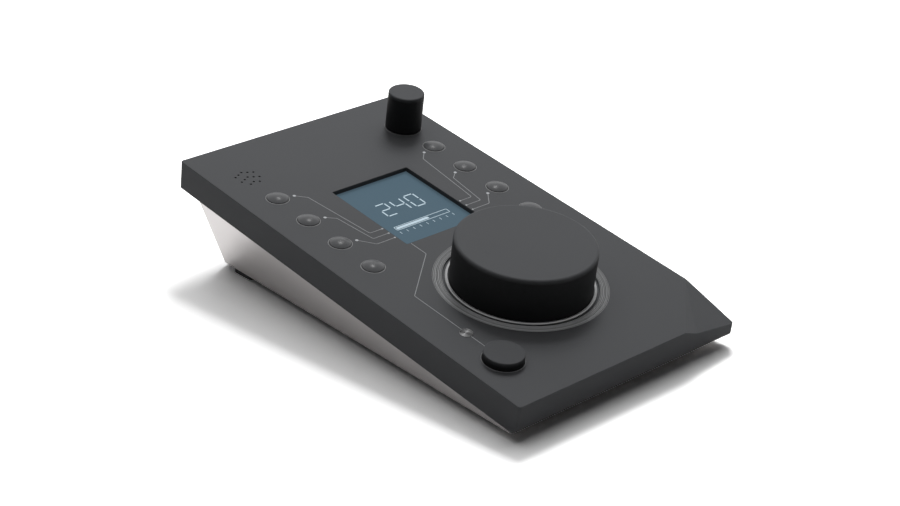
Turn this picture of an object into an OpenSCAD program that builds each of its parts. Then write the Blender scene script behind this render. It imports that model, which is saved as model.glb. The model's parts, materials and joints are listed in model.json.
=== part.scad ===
// Desktop remote for a studio monitor controller: a sloping panel with a
// volume knob, a select knob, push buttons and a display, on a wedge base.
// Millimetres, +X right, +Y to the back, +Z up. The origin lies on the desk,
// under the middle of the outline.

/* [Panel] */
// Width of the panel, left to right
panel_w = 140; // [134:1:170]
// Length of the panel, front to back along its slope
panel_l = 250; // [244:1:300]
// Height of the panel's outer walls, square to its top
panel_h = 15; // [14:0.5:20]
// Thickness of the panel's top wall
panel_top = 3; // [2.7:0.1:3.6]
// Thickness of the panel's side walls
panel_wall = 3; // [2.4:0.1:3.6]
// Radius of the panel's upright corners
corner_r = 1.5; // [1:0.1:3]
// Radius along the panel's top edge
edge_r = 0.3; // [0.2:0.1:0.8]
// Slope of the panel, in degrees
tilt = 8.8; // [7:0.1:11]
// Bevel under the panel's front edge
front_bevel = 2.4; // [1.5:0.1:3]

/* [Planed corner] */
// Run of the planed corner along the front edge
facet_front = 35; // [28:0.5:40]
// Run of the planed corner along the right edge
facet_side = 33; // [26:0.5:38]
// Drop of the plane at the corner
facet_drop = 7.2; // [5:0.1:8]
// Run of the steeper first strip along the front edge
facet_strip = 8.2; // [6:0.1:10]
// Drop of the steeper first strip
facet_strip_drop = 3.2; // [2.4:0.1:3.6]

/* [Base] */
// Height of the shell's front end below the panel
front_gap = 0.3; // [0.2:0.1:1]
// Set-back of the shell's front end behind the panel's bevel
front_setback = 1.5; // [1:0.1:2.4]
// Lean of the shell's sides, in degrees from square to the panel
side_lean = 18; // [10:0.5:22]
// Lean of the shell's back wall, in degrees from upright
back_lean = 5; // [2:0.1:10]
// Reach of the panel behind the shell
overhang = 11.1; // [10:0.1:16]
// Thickness of the shell's walls at their top
shell_wall = 2; // [1.6:0.1:2.4]
// Radius of the shell's upright corners
shell_r = 8; // [6:0.5:9]
// Width of the ledge that the bottom plate bears on
ledge_w = 4; // [3:0.1:5]
// Thickness of the shell's lip round the bottom plate
lip_t = 1; // [0.8:0.1:1.4]
// Thickness of that ledge
ledge_t = 2; // [1.6:0.1:3]
// Width of the shell's front bar
front_bar = 12; // [11:0.5:14]
// Thickness of the bottom plate
plate_t = 1.5; // [1.2:0.1:2]

/* [Feet] */
// Height of a foot below the bottom plate
foot_h = 4; // [3:0.1:5]
// Width of a foot
foot_w = 16; // [13:0.2:17]
// Radius of a foot's corners
foot_r = 3; // [1:0.5:5]
// Depth of a foot's recess in the bottom plate
foot_recess = 0.4; // [0.2:0.1:0.6]
// Distance of the feet's centres from the bottom plate's side edges, at the back
foot_inset = 9; // [9:0.1:12]
// Distance of the feet's centres from the bottom plate's front and back edges
foot_end = 17; // [14:0.5:20]

/* [Volume knob] */
// Distance of the volume knob's axis from the panel's front edge
volume_v = 73.8; // [70:0.1:76]
// Radius of the volume knob
volume_r = 34.2; // [30:0.1:35]
// Height of the volume knob's top above the panel
volume_top = 22; // [20:0.5:28]
// Radius along the volume knob's top edge
volume_edge = 1.6; // [1:0.1:3]
// Thickness of the volume knob's rim
volume_rim = 5.2; // [4:0.1:7]
// Thickness of the volume knob's top wall
volume_cap = 6; // [4:0.1:7]
// Radial gap between the volume knob and its bezel
volume_gap = 0.6; // [0.3:0.1:1]
// Width of the bezel round the volume knob
bezel_w = 1.2; // [0.8:0.1:1.6]
// Height of that bezel above the panel
bezel_rise = 0.35; // [0.1:0.05:0.6]
// Width of the sunk gap outside that bezel
moat_w = 1.4; // [1:0.1:2]
// Depth of the round recess under the volume knob
moat_depth = 1; // [0.8:0.1:1.2]
// Width of the grooved ring
groove_ring_w = 4.6; // [4:0.1:5]
// Thickness of the grooved ring
groove_ring_t = 1.2; // [0.9:0.1:1.4]
// Depth of the grooves in the grooved ring
groove_depth = 0.3; // [0.1:0.05:0.5]
// Number of grooves in the grooved ring
groove_count = 6; // [4:1:8]

/* [Select knob] */
// Distance of the select knob's axis from the panel's right edge
select_side = 19.2; // [18:0.1:24]
// Distance of the select knob's axis from the panel's back edge
select_back = 30.6; // [30:0.1:34]
// Radius of the select knob
select_r = 9.5; // [9:0.1:10]
// Height of the select knob's top above the panel
select_top = 21; // [18:0.1:26]
// Radius along the select knob's top edge
select_edge = 1; // [0.5:0.1:1.6]
// Travel of the select knob when it is pressed
select_travel = 0.5; // [0.3:0.1:0.8]

/* [Push buttons] */
// Distance of the button columns from the panel's side edges
column_inset = 19; // [18:0.5:24]
// Distance of the rear buttons from the panel's back edge
button_back = 55.2; // [53:0.1:58]
// Spacing of the buttons in a column
button_pitch = 24.5; // [20:0.5:26]
// Radius of a button's cap
button_r = 5.3; // [5:0.1:6.4]
// Straight height of a button's cap above the panel
button_rise = 0.4; // [0.3:0.1:1]
// Height of a button's dome
dome_h = 1.4; // [1:0.1:3]
// Travel of a button when it is pressed
button_travel = 0.8; // [0.4:0.1:1]
// Distance of the talk button's axis from the panel's front edge
talk_v = 31; // [29:0.1:33]
// Radius of the talk button's cap
talk_r = 9.5; // [8:0.1:10]
// Height of the talk button's top above the panel
talk_top = 4; // [2.5:0.1:6]
// Radius along the talk button's top edge
talk_edge = 0.5; // [0.2:0.1:1]
// Travel of the talk button when it is pressed
talk_travel = 1; // [0.5:0.1:1]
// Width of the thin bezel round each cap
trim_w = 0.4; // [0.3:0.05:0.8]
// Height of the thin bezels above the panel
trim_rise = 0.15; // [0.05:0.05:0.3]
// Depth of the thin bezels' seats
trim_depth = 0.8; // [0.5:0.1:1.2]
// Width of the flange that keeps a button in the panel
flange_w = 1.2; // [0.8:0.1:1.6]
// Thickness of that flange
flange_t = 1; // [0.8:0.1:1.2]

/* [Display] */
// Distance of the display's centre from the panel's back edge
display_back = 93.2; // [92:0.1:95]
// Width of the display window
window_w = 48.9; // [40:0.1:54]
// Length of the display window
window_l = 57.8; // [50:0.1:60]
// Depth of the display's face below the panel's top
window_depth = 2.5; // [1.8:0.1:2.6]
// Margin of the display's glass round the window
glass_margin = 1.6; // [1.2:0.1:2]
// Thickness of the display's glass
glass_t = 1.1; // [1:0.1:1.4]
// Thickness of the gasket in front of the glass
gasket_t = 0.3; // [0.2:0.05:0.5]
// Thickness of the display's case behind the glass
display_case_t = 2.6; // [2:0.1:3]

/* [Indicator and microphone] */
// Distance of the indicator's axis from the panel's front edge
indicator_v = 55.6; // [53:0.1:70]
// Radius of the indicator
indicator_r = 3.2; // [2.5:0.1:4.5]
// Distance of the microphone holes' centre from the panel's back edge
mic_back = 30.6; // [30:0.1:34]
// Diameter of a microphone hole
mic_hole_d = 1.2; // [0.8:0.1:1.6]
// Spacing of the microphone holes' columns
mic_column = 2.73; // [2.4:0.01:2.8]
// Spacing of the microphone holes in a column
mic_row = 5.2; // [4:0.1:5.4]
// Step of each column towards the front
mic_step = 1.3; // [0.5:0.1:1.5]
// Radius of the microphone capsule
mic_r = 5.2; // [4:0.1:5.4]

/* [Inside] */
// Room between the panel's top wall and the main board
board_gap = 6; // [5.8:0.1:7]
// Thickness of both boards
board_t = 1.6; // [1.2:0.1:2]
// Height of the push switches
switch_h = 3; // [2.8:0.1:3.2]
// Width of the push switches
switch_w = 6; // [5.5:0.1:7]
// Radius of the knobs' shafts
shaft_r = 3; // [2.6:0.1:3.2]
// Radius of the volume encoder's case
encoder_r = 11; // [9:0.5:14]
// Width of the select encoder's case
encoder_w = 12; // [11:0.5:13]
// Height of the spacers under the rear board
spacer_h = 4; // [3:0.1:6]
// Width of the rear board
rear_board_w = 44; // [40:1:50]
// Length of the rear board
rear_board_l = 42; // [38:1:46]
// Width of the network jack
jack_w = 16.2; // [15.5:0.1:17]
// Height of the network jack
jack_h = 13.4; // [13:0.1:15]
// Length of the network jack
jack_l = 21; // [18:0.5:24]
// Width of the flat cable
cable_w = 20; // [10:1:26]
// Thickness of the flat cable
cable_t = 1; // [0.6:0.1:1.4]

/* [Hidden] */
$fn = 64;

// Clearances
fit_gap = 0.05;      // between a shaft, screw or insert and its bore
push_gap = 0.3;      // round a cap that travels in the panel
stop_gap = 0.1;      // above a flange that stops under the panel
seat_gap = 0.2;      // round a plate that lies in a recess
cut = 1;             // how far a cutter runs past a face

// Screws and bosses
screw_r = 1.5;
screw_head_r = 2.75;
screw_head_h = 1.6;
screw_reach = 6;
small_screw_r = 1;
small_head_r = 1.9;
small_head_h = 1.2;
small_reach = 3;
screw_slack = 0.5;   // left below a screw's end in its bore
hex_key_r = 1.1;
boss_r = 4;
boss_gap = 1;        // round a boss that passes through the main board
post_r = 3;
spacer_r = 2.5;

// Places on the panel: x from its middle line, v from its front edge
column_x = panel_w / 2 - column_inset;
volume_x = 0;
select_x = panel_w / 2 - select_side;
select_v = panel_l - select_back;
display_v = panel_l - display_back;
mic_v = panel_l - mic_back;
button_rows = 4;
function button_v(row) = panel_l - button_back - row * button_pitch;

// Heights square to the panel, from its top
panel_under = -panel_top;
board_top = panel_under - board_gap;
board_under = board_top - board_t;
rim = -panel_h;

// The panel's frame: its front edge lies at front_y, front_z
edge_reach = edge_r * (cos(tilt) + sin(tilt) - 1);
front_y = -(panel_l * cos(tilt) + panel_h * sin(tilt) + edge_reach) / 2;
front_z = foot_h + front_gap + panel_h * cos(tilt);
function world_y(v, h) = front_y + v * cos(tilt) - h * sin(tilt);
function world_z(v, h) = front_z + v * sin(tilt) + h * cos(tilt);
function below_rim(y, z) = (y - front_y) * sin(tilt) - (z - front_z) * cos(tilt) - panel_h;

// The shell: its top outline lies in the rim's plane, its bottom one is level
shell_front_v = front_bevel + front_setback;
shell_back_v = panel_l - overhang;
shell_front_y = world_y(shell_front_v, rim);
shell_top_y = world_y(shell_back_v, rim);
shell_top_z = world_z(shell_back_v, rim);
plate_top = foot_h + plate_t;
shell_reach = panel_l / 4;  // past the shell's lowest point
corner_cut = 0.7 * shell_r; // keeps a lip inside the shell's rounded corners
function back_wall_y(z) = shell_top_y - (shell_top_z - z) * tan(back_lean);
function side_x(y, z) = panel_w / 2 - below_rim(y, z) * tan(side_lean);
shell_back_y = back_wall_y(foot_h);
ledge_back_y = shell_back_y - shell_wall - ledge_w;
bar_back_y = shell_front_y + front_bar;
plate_front_y = bar_back_y - ledge_w + seat_gap;
plate_back_y = shell_back_y - lip_t - seat_gap;

// The panel's inside
cavity_front = front_bevel + panel_wall;
cavity_back = shell_back_v - panel_wall;
cavity_r = 3;
board_margin = 4;
board_x = panel_w / 2 - panel_wall - board_margin;
board_v0 = shell_front_v + front_bar + 2 * boss_r + board_margin / 2;
board_v1 = cavity_back - board_margin / 2;
front_boss_x = 30;
front_boss_v = shell_front_v + front_bar + boss_r + board_margin / 4;
pillar_x = 35;
pillar_ahead = 11;   // of the select knob's axis
pillar_v = select_v - pillar_ahead;
post_front_x = 25;
post_edge = 5;       // from the board's edge to a post's axis
post_ahead = 20;     // of the front row of buttons
post_places = [
    for (s = [-1, 1]) each [
        [s * post_front_x, board_v0 + post_edge],
        [s * (board_x - post_edge), button_v(button_rows - 1) - post_ahead],
        [s * (board_x - post_edge), pillar_v]
    ]
];
boss_places = [for (s = [-1, 1]) [s * front_boss_x, world_y(front_boss_v, panel_under)]];
pillar_places = [for (s = [-1, 1]) [s * pillar_x, world_y(pillar_v, panel_under)]];
boss_root = 1.2;     // how far a boss or post runs into the panel's top wall
front_boss_top = world_z(front_boss_v, panel_under) + boss_root;
rear_boss_top = world_z(pillar_v, panel_under) + boss_root;
rear_boss_end = world_z(pillar_v, rim);

// The two slopes of the planed corner, each as drops along x and along v
facet_fall_v = facet_drop / facet_side;
facet_fall_x = (facet_drop - facet_strip_drop) / (facet_front - facet_strip);
strip_fall_x = facet_strip_drop / facet_strip;
strip_fall_v = strip_fall_x * facet_front / facet_side;
facet_side_point = [panel_w / 2, facet_side, 0];

// Volume knob and its rings
bezel_r0 = volume_r + volume_gap;
bezel_r1 = bezel_r0 + bezel_w;
moat_r = bezel_r1 + moat_w;
groove_ring_r = moat_r + groove_ring_w;
knob_float = 0.6;    // gap under the volume knob
volume_under = -moat_depth + knob_float;
volume_roof = volume_top - volume_cap;
hub_r = 10;
hub_under = 6;
insert_r = 6;
insert_cover = 1;    // how far the insert runs into the knob's top wall
insert_top = volume_roof + insert_cover;
bush_r = 4.5;
bush_top = 4;
nut_r = 7;
nut_t = 2;
grub_z = 10.5;
grub_l = 5;
shaft_floor = 1.5;   // below a shaft, inside its encoder
shaft_foot = board_top + shaft_floor;
shaft_head = insert_top - insert_cover;

// Select knob
select_float = trim_rise + stop_gap; // gap under the select knob when it is pressed
select_under = select_travel + select_float;
bush_wall = 0.8;
select_bush_r = shaft_r + bush_wall;
select_bush_top = 4;
select_nut_r = 6;
select_nut_t = 1.6;
select_cavity_r = select_nut_r + push_gap;
select_cavity_top = select_bush_top + select_travel + 2 * select_float;
select_cap = 3;      // above the shaft
select_shaft_head = select_top - select_cap;
plunger_r = shaft_r - push_gap;
plunger_t = 0.8;
encoder_floor = 0.6;
plunger_foot = board_top + encoder_floor + select_travel + select_float;
select_shaft_foot = plunger_foot + plunger_t + fit_gap;
grub_lift = 3;       // of the grub screw's axis above the cavity
select_grub_z = select_cavity_top + grub_lift;

// Buttons and their switches
stem_r = 1.7;
stem_entry = 0.4;
switch_floor = 0.4;

// Display
glass_w = window_w + 2 * glass_margin;
glass_l = window_l + 2 * glass_margin;
gasket_top = -window_depth + gasket_t;
glass_under = -window_depth - glass_t;
case_under = glass_under - display_case_t;
window_r = 1;
support_wall = 4;

// Microphone boot
boot_wall = 2;
boot_floor = 1;

// Rear board and its jack
rear_board_z = plate_top + spacer_h;
jack_z = rear_board_z + board_t;
jack_proud = 0.5;    // of the back wall, at the jack's top
jack_face_y = back_wall_y(jack_z + jack_h) + jack_proud;
rear_board_gap = 1;
rear_board_y1 = ledge_back_y - rear_board_gap;
rear_board_y0 = rear_board_y1 - rear_board_l;
spacer_edge = 5;
spacer_places = [
    for (x = [-1, 1], y = [rear_board_y0 + spacer_edge, rear_board_y1 - spacer_edge])
        [x * (rear_board_w / 2 - spacer_edge), y]
];
socket_w = 11.8;
socket_h = 6.9;
socket_l = 13;
socket_floor = 2.2;
latch_w = 6;
latch_h = 2.4;
header_side = 2;     // of a header, past the cable's edge
header_w = cable_w + 2 * header_side;
header_l = 6;
header_h = 5;
header_ahead = 12;   // of the pillars
upper_header_v = pillar_v - header_ahead;
lower_header_y = rear_board_y0 + header_l / 2 + rear_board_gap;

// Feet
function plate_x(y) = side_x(y, foot_h) - lip_t - seat_gap;
foot_front_y = plate_front_y + foot_end;
foot_back_y = plate_back_y - foot_end;
foot_x = plate_x(foot_back_y) - foot_inset; // front and back feet stand in line

// Colours
panel_colour = [0.22, 0.225, 0.23];
knob_colour = [0.17, 0.17, 0.175];
silver_colour = [0.8, 0.79, 0.78];
trim_colour = [0.66, 0.66, 0.67];
board_colour = [0.08, 0.25, 0.16];
steel_colour = [0.6, 0.6, 0.62];
black_colour = [0.05, 0.05, 0.05];
brass_colour = [0.72, 0.58, 0.3];
screen_colour = [0.34, 0.42, 0.47];

// Children placed in the panel's frame, at x, v and h
module at_panel(x = 0, v = 0, h = 0)
    translate([0, front_y, front_z]) rotate([tilt, 0, 0]) translate([x, v, h]) children();

// A flat outline carried along X: its first axis becomes Y, its second Z
module along_x(length)
    rotate([90, 0, 90]) linear_extrude(length, center = true) children();

module rounded_outline(w, l, r) {
    square([w, l - 2 * r], center = true);
    square([w - 2 * r, l], center = true);
    for (x = [-1, 1], y = [-1, 1]) translate([x * (w / 2 - r), y * (l / 2 - r)]) circle(r);
}

module rounded_block(w, l, h, r)
    linear_extrude(h) rounded_outline(w, l, r);

module ring(r0, r1, h)
    difference() {
        cylinder(r = r1, h = h);
        translate([0, 0, -cut]) cylinder(r = r0, h = h + 2 * cut);
    }

// A frame round an open middle
module frame_block(w, l, h, inner_w, inner_l)
    difference() {
        translate([-w / 2, -l / 2, 0]) cube([w, l, h]);
        translate([-inner_w / 2, -inner_l / 2, -cut]) cube([inner_w, inner_l, h + 2 * cut]);
    }

// A round bar from z0 to z1 whose top edge is rounded
module round_topped(r, z0, z1, edge)
    translate([0, 0, z0]) rotate_extrude() {
        square([r, z1 - z0 - edge]);
        square([r - edge, z1 - z0]);
        translate([r - edge, z1 - z0 - edge]) circle(edge);
    }

// A screw that points up, with its head's seat at the origin
module screw(r, reach, head_r, head_h)
    difference() {
        union() {
            cylinder(r = r, h = reach);
            translate([0, 0, -head_h]) cylinder(r = head_r, h = head_h);
        }
        translate([0, 0, -head_h - cut])
            cylinder(r = hex_key_r * r / screw_r, h = cut + head_h / 2, $fn = 6);
    }

// The room above a plane that falls by fall_x and fall_v from a point
module above_plane(point, fall_x, fall_v) {
    side = 2 * panel_w;
    translate(point) rotate(a = acos(1 / norm([fall_x, fall_v, 1])), v = [fall_v, fall_x, 0])
        translate([-side / 2, -side / 2, 0]) cube(side);
}

// The room above the planed corner, lowered by drop
module above_facet(drop = 0)
    intersection() {
        above_plane([panel_w / 2, 0, -facet_drop - drop], facet_fall_x, facet_fall_v);
        above_plane(facet_side_point - [0, 0, drop], strip_fall_x, strip_fall_v);
    }

// The cutter of the panel's rounded top edge, for one straight run along X
module edge_profile()
    difference() {
        square(edge_r + cut);
        circle(edge_r);
    }

module edge_cutter() {
    for (side = [-1, 1]) {
        translate([0, panel_l / 2 + side * (panel_l / 2 - edge_r), -edge_r])
            rotate([0, 0, side > 0 ? 0 : 180]) along_x(panel_w - 2 * corner_r) edge_profile();
        translate([side * (panel_w / 2 - edge_r), panel_l / 2, -edge_r])
            rotate([0, 0, -90 * side]) along_x(panel_l - 2 * corner_r) edge_profile();
    }
    for (turn = [0:3]) {
        x = (turn == 0 || turn == 3) ? 1 : -1;
        y = turn < 2 ? 1 : -1;
        translate([x * (panel_w / 2 - corner_r), panel_l / 2 + y * (panel_l / 2 - corner_r), -edge_r])
            rotate([0, 0, 90 * turn]) rotate_extrude(angle = 90)
                translate([corner_r - edge_r, 0]) edge_profile();
    }
}

// Seats and bores in the panel for one cap with its thin bezel
module cap_bore(cap_r) {
    translate([0, 0, panel_under - cut]) cylinder(r = cap_r + push_gap, h = panel_top + 2 * cut);
    translate([0, 0, -trim_depth]) cylinder(r = cap_r + push_gap + trim_w + fit_gap, h = trim_depth + cut);
}

module thin_bezel(cap_r) {
    r0 = cap_r + push_gap;
    rotate_extrude() polygon([
        [r0, -trim_depth], [r0 + trim_w, -trim_depth], [r0 + trim_w, 0],
        [r0 + trim_w / 2, trim_rise], [r0, trim_rise]
    ]);
}

// Holes of the microphone: columns of two or three holes, each stepped forward
module mic_holes()
    for (column = [-2:2], row = [0:abs(column) == 2 ? 1 : 2])
        translate([column * mic_column, mic_row * (1 - row) - abs(column) * mic_step, panel_under - cut])
            cylinder(d = mic_hole_d, h = panel_top + 2 * cut, $fn = 24);

module panel_cavity()
    difference() {
        translate([0, (cavity_front + cavity_back) / 2, rim - cut])
            rounded_block(
                panel_w - 2 * panel_wall, cavity_back - cavity_front, panel_h - panel_top + cut, cavity_r);
        above_facet(panel_top);
    }

// The hollow slab, with its rounded top edge, front bevel and planed corner
module panel_body()
    difference() {
        translate([0, panel_l / 2, rim]) rounded_block(panel_w, panel_l, panel_h, corner_r);
        panel_cavity();
        along_x(panel_w + 2 * cut)
            polygon([[-cut, rim + front_bevel + cut], [-cut, rim - cut], [front_bevel + cut, rim - cut]]);
        above_facet();
        edge_cutter();
    }

module top_panel() color(panel_colour)
    difference() {
        union() {
            at_panel() panel_body();
            for (p = post_places)
                at_panel(p.x, p.y, board_top) cylinder(r = post_r, h = board_gap + boss_root);
            for (p = boss_places)
                translate([p.x, p.y, plate_top]) cylinder(r = boss_r, h = front_boss_top - plate_top);
            for (p = pillar_places)
                translate([p.x, p.y, rear_boss_end])
                    cylinder(r = boss_r, h = rear_boss_top - rear_boss_end);
        }
        for (p = post_places)
            at_panel(p.x, p.y, board_top - cut)
                cylinder(r = small_screw_r + fit_gap, h = small_reach + cut);
        for (p = boss_places)
            translate([p.x, p.y, plate_top - cut]) cylinder(r = screw_r + fit_gap, h = screw_reach + cut);
        for (p = pillar_places)
            translate([p.x, p.y, rear_boss_end - cut])
                cylinder(r = screw_r + fit_gap, h = screw_reach + cut);
        for (x = [-1, 1], row = [0:button_rows - 1])
            at_panel(x * column_x, button_v(row)) cap_bore(button_r);
        at_panel(-column_x, talk_v) cap_bore(talk_r);
        at_panel(select_x, select_v) {
            translate([0, 0, panel_under - cut])
                cylinder(r = select_bush_r + fit_gap, h = panel_top + 2 * cut);
            translate([0, 0, -trim_depth])
                ring(select_r - fit_gap, select_r + trim_w + fit_gap, trim_depth + cut);
        }
        at_panel(volume_x, volume_v) {
            translate([0, 0, panel_under - cut]) cylinder(r = bush_r + fit_gap, h = panel_top + 2 * cut);
            translate([0, 0, -moat_depth]) cylinder(r = moat_r, h = moat_depth + cut);
            translate([0, 0, -groove_ring_t]) ring(moat_r, groove_ring_r + fit_gap, groove_ring_t + cut);
        }
        at_panel(0, display_v) {
            translate([0, 0, panel_under - cut])
                rounded_block(window_w, window_l, panel_top + 2 * cut, window_r);
            translate([0, 0, panel_under - cut]) rounded_block(
                glass_w + 2 * seat_gap, glass_l + 2 * seat_gap, cut + panel_top + gasket_top, window_r);
        }
        at_panel(-column_x, indicator_v, panel_under - cut)
            cylinder(r = indicator_r + fit_gap, h = panel_top + 2 * cut);
        at_panel(-column_x, mic_v) mic_holes();
    }

// The wedge between the rim's plane and a level z0: its sides lean in from
// side_inset, its back wall from back_inset, and it starts at y0
module wedge(side_inset, back_inset, y0, z0, top) {
    deep = panel_l;             // past the wedge's ends
    half = panel_w / 2 - side_inset;
    intersection() {
        at_panel(0, 0, rim) translate([0, deep, 0]) rotate([90, 0, 0]) linear_extrude(deep) polygon([
            [-half, 0], [-half, top], [half, top], [half, 0],
            [half - shell_reach * tan(side_lean), -shell_reach],
            [shell_reach * tan(side_lean) - half, -shell_reach]
        ]);
        along_x(panel_w) polygon([
            [y0, z0], [back_wall_y(z0) - back_inset, z0],
            [back_wall_y(deep) - back_inset, deep], [y0, deep]
        ]);
    }
}

// The cutter that rounds the left back corner of the wedge. It follows the
// line where the leaning side and the leaning back wall meet, inset for the
// shell's inside.
module shell_corner_cutter(inset = 0) {
    side_out = [-cos(side_lean), sin(side_lean) * sin(tilt), -sin(side_lean) * cos(tilt)];
    back_out = [0, cos(back_lean), -sin(back_lean)];
    lean = side_out * back_out;
    across = (back_out - lean * side_out) / norm(back_out - lean * side_out);
    run = cross(side_out, across);
    middle = [-panel_w / 2, shell_top_y, shell_top_z] - shell_r / (1 + lean) * (side_out + back_out);
    reach = shell_r + cut;
    turn = acos(lean);
    multmatrix([
        [side_out.x, across.x, run.x, middle.x],
        [side_out.y, across.y, run.y, middle.y],
        [side_out.z, across.z, run.z, middle.z],
        [0, 0, 0, 1]
    ]) linear_extrude(panel_w, center = true) difference() {
        polygon([[0, 0], [reach, 0], reach * [1 + cos(turn), sin(turn)], reach * [cos(turn), sin(turn)]]);
        circle(shell_r - inset);
    }
}

// A level outline inside the wedge's bottom, with its corners cut off
module level_outline(inset, y0, y1) {
    c = corner_cut;
    right = [
        [side_x(y0, foot_h) - inset - c, y0], [side_x(y0 + c, foot_h) - inset, y0 + c],
        [side_x(y1 - c, foot_h) - inset, y1 - c], [side_x(y1, foot_h) - inset - c, y1]
    ];
    polygon(concat(right, [for (i = [3:-1:0]) [-right[i].x, right[i].y]]));
}

module base_shell() color(silver_colour)
    difference() {
        intersection() {
            wedge(0, 0, shell_front_y, foot_h, 0);
            at_panel(0, panel_l / 2, rim - shell_reach)
                rounded_block(panel_w, panel_l, shell_reach, corner_r);
        }
        shell_corner_cutter();
        mirror([1, 0, 0]) shell_corner_cutter();
        difference() {
            wedge(shell_wall, shell_wall, bar_back_y, plate_top + ledge_t, cut);
            shell_corner_cutter(shell_wall);
            mirror([1, 0, 0]) shell_corner_cutter(shell_wall);
        }
        translate([0, 0, plate_top - cut]) linear_extrude(panel_l)
            level_outline(shell_wall + ledge_w, bar_back_y, ledge_back_y);
        translate([0, 0, foot_h - cut]) linear_extrude(plate_t + cut)
            level_outline(lip_t, plate_front_y - seat_gap, plate_back_y + seat_gap);
        translate([-jack_w / 2 - seat_gap, jack_face_y - jack_l, jack_z - seat_gap])
            cube([jack_w + 2 * seat_gap, jack_l + cut, jack_h + 2 * seat_gap]);
    }

module bottom_plate() color(steel_colour)
    difference() {
        translate([0, 0, foot_h]) linear_extrude(plate_t)
            level_outline(lip_t + seat_gap, plate_front_y, plate_back_y);
        for (p = concat(boss_places, pillar_places))
            translate([p.x, p.y, foot_h - cut]) cylinder(r = screw_r + fit_gap, h = plate_t + 2 * cut);
        for (x = [-1, 1], y = [foot_front_y, foot_back_y])
            translate([x * foot_x, y, foot_h - cut])
                rounded_block(foot_w + 2 * fit_gap, foot_w + 2 * fit_gap, cut + foot_recess, foot_r + fit_gap);
        for (p = spacer_places)
            translate([p.x, p.y, foot_h - cut])
                cylinder(r = small_screw_r + fit_gap, h = plate_t + 2 * cut);
    }

module foot(x, y) color(black_colour)
    translate([x * foot_x, y, 0]) rounded_block(foot_w, foot_w, foot_h + foot_recess, foot_r);
module foot_front_left() foot(-1, foot_front_y);
module foot_front_right() foot(1, foot_front_y);
module foot_back_left() foot(-1, foot_back_y);
module foot_back_right() foot(1, foot_back_y);

// Six-sided pillars between the bottom plate and the panel's rear bosses
module rear_pillars() color(brass_colour)
    for (p = pillar_places) translate([p.x, p.y, 0]) {
        difference() {
            translate([0, 0, plate_top]) cylinder(r = boss_r, h = rear_boss_end - plate_top, $fn = 6);
            translate([0, 0, plate_top - cut]) cylinder(r = screw_r + fit_gap, h = screw_reach + cut);
        }
        translate([0, 0, rear_boss_end]) cylinder(r = screw_r, h = screw_reach - fit_gap);
    }

module bottom_screws() color(steel_colour)
    for (p = concat(boss_places, pillar_places))
        translate([p.x, p.y, foot_h])
            screw(screw_r, plate_t + screw_reach - screw_slack, screw_head_r, screw_head_h);

module main_board() color(board_colour)
    difference() {
        at_panel(-board_x, board_v0, board_under) cube([2 * board_x, board_v1 - board_v0, board_t]);
        for (p = post_places)
            at_panel(p.x, p.y, board_under - cut)
                cylinder(r = small_screw_r + fit_gap, h = board_t + 2 * cut);
        for (p = pillar_places)
            translate([p.x, p.y, rear_boss_end])
                cylinder(r = boss_r + boss_gap, h = rear_boss_top - rear_boss_end);
    }

module board_screws() color(steel_colour)
    for (p = post_places)
        at_panel(p.x, p.y, board_under)
            screw(small_screw_r, board_t + small_reach - screw_slack, small_head_r, small_head_h);

module rear_board() color(board_colour)
    difference() {
        translate([-rear_board_w / 2, rear_board_y0, rear_board_z])
            cube([rear_board_w, rear_board_l, board_t]);
        for (p = spacer_places)
            translate([p.x, p.y, rear_board_z - cut])
                cylinder(r = small_screw_r + fit_gap, h = board_t + 2 * cut);
    }

module rear_spacers() color(brass_colour)
    for (p = spacer_places)
        translate([p.x, p.y, plate_top]) ring(small_screw_r + fit_gap, spacer_r, spacer_h);

module rear_board_screws() color(steel_colour)
    for (p = spacer_places)
        translate([p.x, p.y, foot_h])
            screw(small_screw_r, plate_t + spacer_h + board_t, small_head_r, small_head_h);

// The network jack: a socket with the notch for the plug's latch below it
module network_jack() color(steel_colour)
    difference() {
        translate([-jack_w / 2, jack_face_y - jack_l, jack_z]) cube([jack_w, jack_l, jack_h]);
        translate([-socket_w / 2, jack_face_y - socket_l, jack_z + socket_floor + latch_h])
            cube([socket_w, socket_l + cut, socket_h]);
        translate([-latch_w / 2, jack_face_y - socket_l, jack_z + socket_floor])
            cube([latch_w, socket_l + cut, latch_h + cut]);
    }

module cable_headers() color(black_colour) {
    at_panel(-header_w / 2, upper_header_v - header_l / 2, header_under)
        cube([header_w, header_l, header_h]);
    translate([-header_w / 2, lower_header_y - header_l / 2, jack_z])
        cube([header_w, header_l, header_h]);
}

// The flat cable's middle line: a smooth curve from header to header
header_under = board_under - header_h;
cable_start = [world_y(upper_header_v, header_under), world_z(upper_header_v, header_under)];
cable_end = [lower_header_y, jack_z + header_h];
cable_pull = 9;
cable_leave = cable_start + cable_pull * [sin(tilt), -cos(tilt)];
cable_arrive = cable_end + cable_pull * [0, 1];
cable_steps = 16;
function cable_point(t) = pow(1 - t, 3) * cable_start + 3 * pow(1 - t, 2) * t * cable_leave
    + 3 * (1 - t) * t * t * cable_arrive + t * t * t * cable_end;
function cable_run(t) = 3 * pow(1 - t, 2) * (cable_leave - cable_start)
    + 6 * (1 - t) * t * (cable_arrive - cable_leave) + 3 * t * t * (cable_end - cable_arrive);
function cable_side(t, s) =
    cable_point(t) + s * cable_t / 2 * [-cable_run(t).y, cable_run(t).x] / norm(cable_run(t));

module flat_cable() color(steel_colour)
    along_x(cable_w) polygon([
        for (i = [0:cable_steps]) cable_side(i / cable_steps, 1),
        for (i = [cable_steps:-1:0]) cable_side(i / cable_steps, -1)
    ]);

module display_gasket() color(black_colour)
    at_panel(0, display_v, -window_depth) frame_block(glass_w, glass_l, gasket_t, window_w, window_l);

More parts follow.
